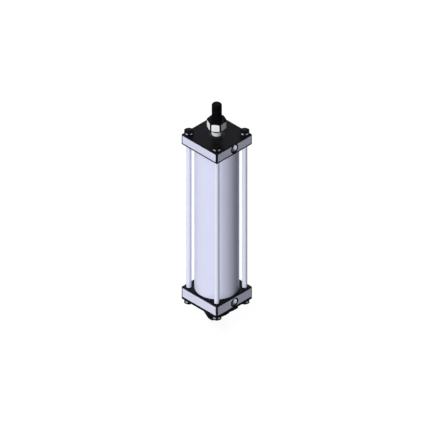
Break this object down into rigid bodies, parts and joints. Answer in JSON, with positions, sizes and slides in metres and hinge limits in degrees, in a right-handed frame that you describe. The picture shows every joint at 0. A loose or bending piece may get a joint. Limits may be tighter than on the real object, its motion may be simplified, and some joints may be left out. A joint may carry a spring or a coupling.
{
  "type": "hydraulic cylinder",
  "caption": "Tie-rod hydraulic cylinder with square end caps, side ports, a threaded rod end with a jam nut and a rear clevis bracket.",
  "frame": {"origin": "centre of the clevis bore, midway between the two ears", "axes": "+Z along the cylinder towards the rod end, +Y along the clevis bore, +X out of the ports"},
  "size_m": [0.0762, 0.0762, 0.394],
  "materials": {
    "cap_metal": "milled sides, black anodised end faces",
    "tube_metal": "satin drawn tube",
    "tie_rod_steel": "bright drawn",
    "black_nut": "black oxide",
    "bracket_steel": "black satin",
    "rod_chrome": "ground and hard chromed, black thread",
    "plated_nut": "bright zinc",
    "seal_rubber": "matt",
    "gland_bronze": "turned",
    "piston_iron": "turned",
    "spring_steel": "phosphated",
    "band_plastic": "filled nylon"
  },
  "bodies": {
    "barrel": {"head_cap": "cap_metal", "base_cap": "cap_metal", "barrel_tube": "tube_metal", "clevis_bracket": "bracket_steel", "rod_bushing": "gland_bronze", "rod_seal": "seal_rubber", "rod_wiper": "seal_rubber", "gland_ring": "spring_steel", "head_tube_seal": "seal_rubber", "base_tube_seal": "seal_rubber", "tie_rod_port_left": "tie_rod_steel", "tie_rod_port_right": "tie_rod_steel", "tie_rod_rear_right": "tie_rod_steel", "tie_rod_rear_left": "tie_rod_steel", "head_nut_port_left": "black_nut", "head_nut_port_right": "black_nut", "head_nut_rear_right": "black_nut", "head_nut_rear_left": "black_nut", "base_nut_port_left": "black_nut", "base_nut_port_right": "black_nut", "base_nut_rear_right": "black_nut", "base_nut_rear_left": "black_nut"},
    "piston_rings": {"piston_seal_front": "seal_rubber", "piston_seal_rear": "seal_rubber", "wear_band": "band_plastic"},
    "rod": {"piston_rod": "rod_chrome", "rod_nut": "plated_nut", "piston": "piston_iron", "piston_static_seal": "seal_rubber", "piston_lock_nut": "plated_nut"}
  },
  "joints": [
    {"name": "rod_slide", "type": "slide", "parent": "barrel", "child": "piston_rings", "axis": [0, 0, 1], "range_m": [0, 0.2032]},
    {"name": "rod_turn", "type": "hinge", "parent": "piston_rings", "child": "rod", "pos_m": [0, 0, 0.07477], "axis": [0, 0, 1], "continuous": true}
  ]
}
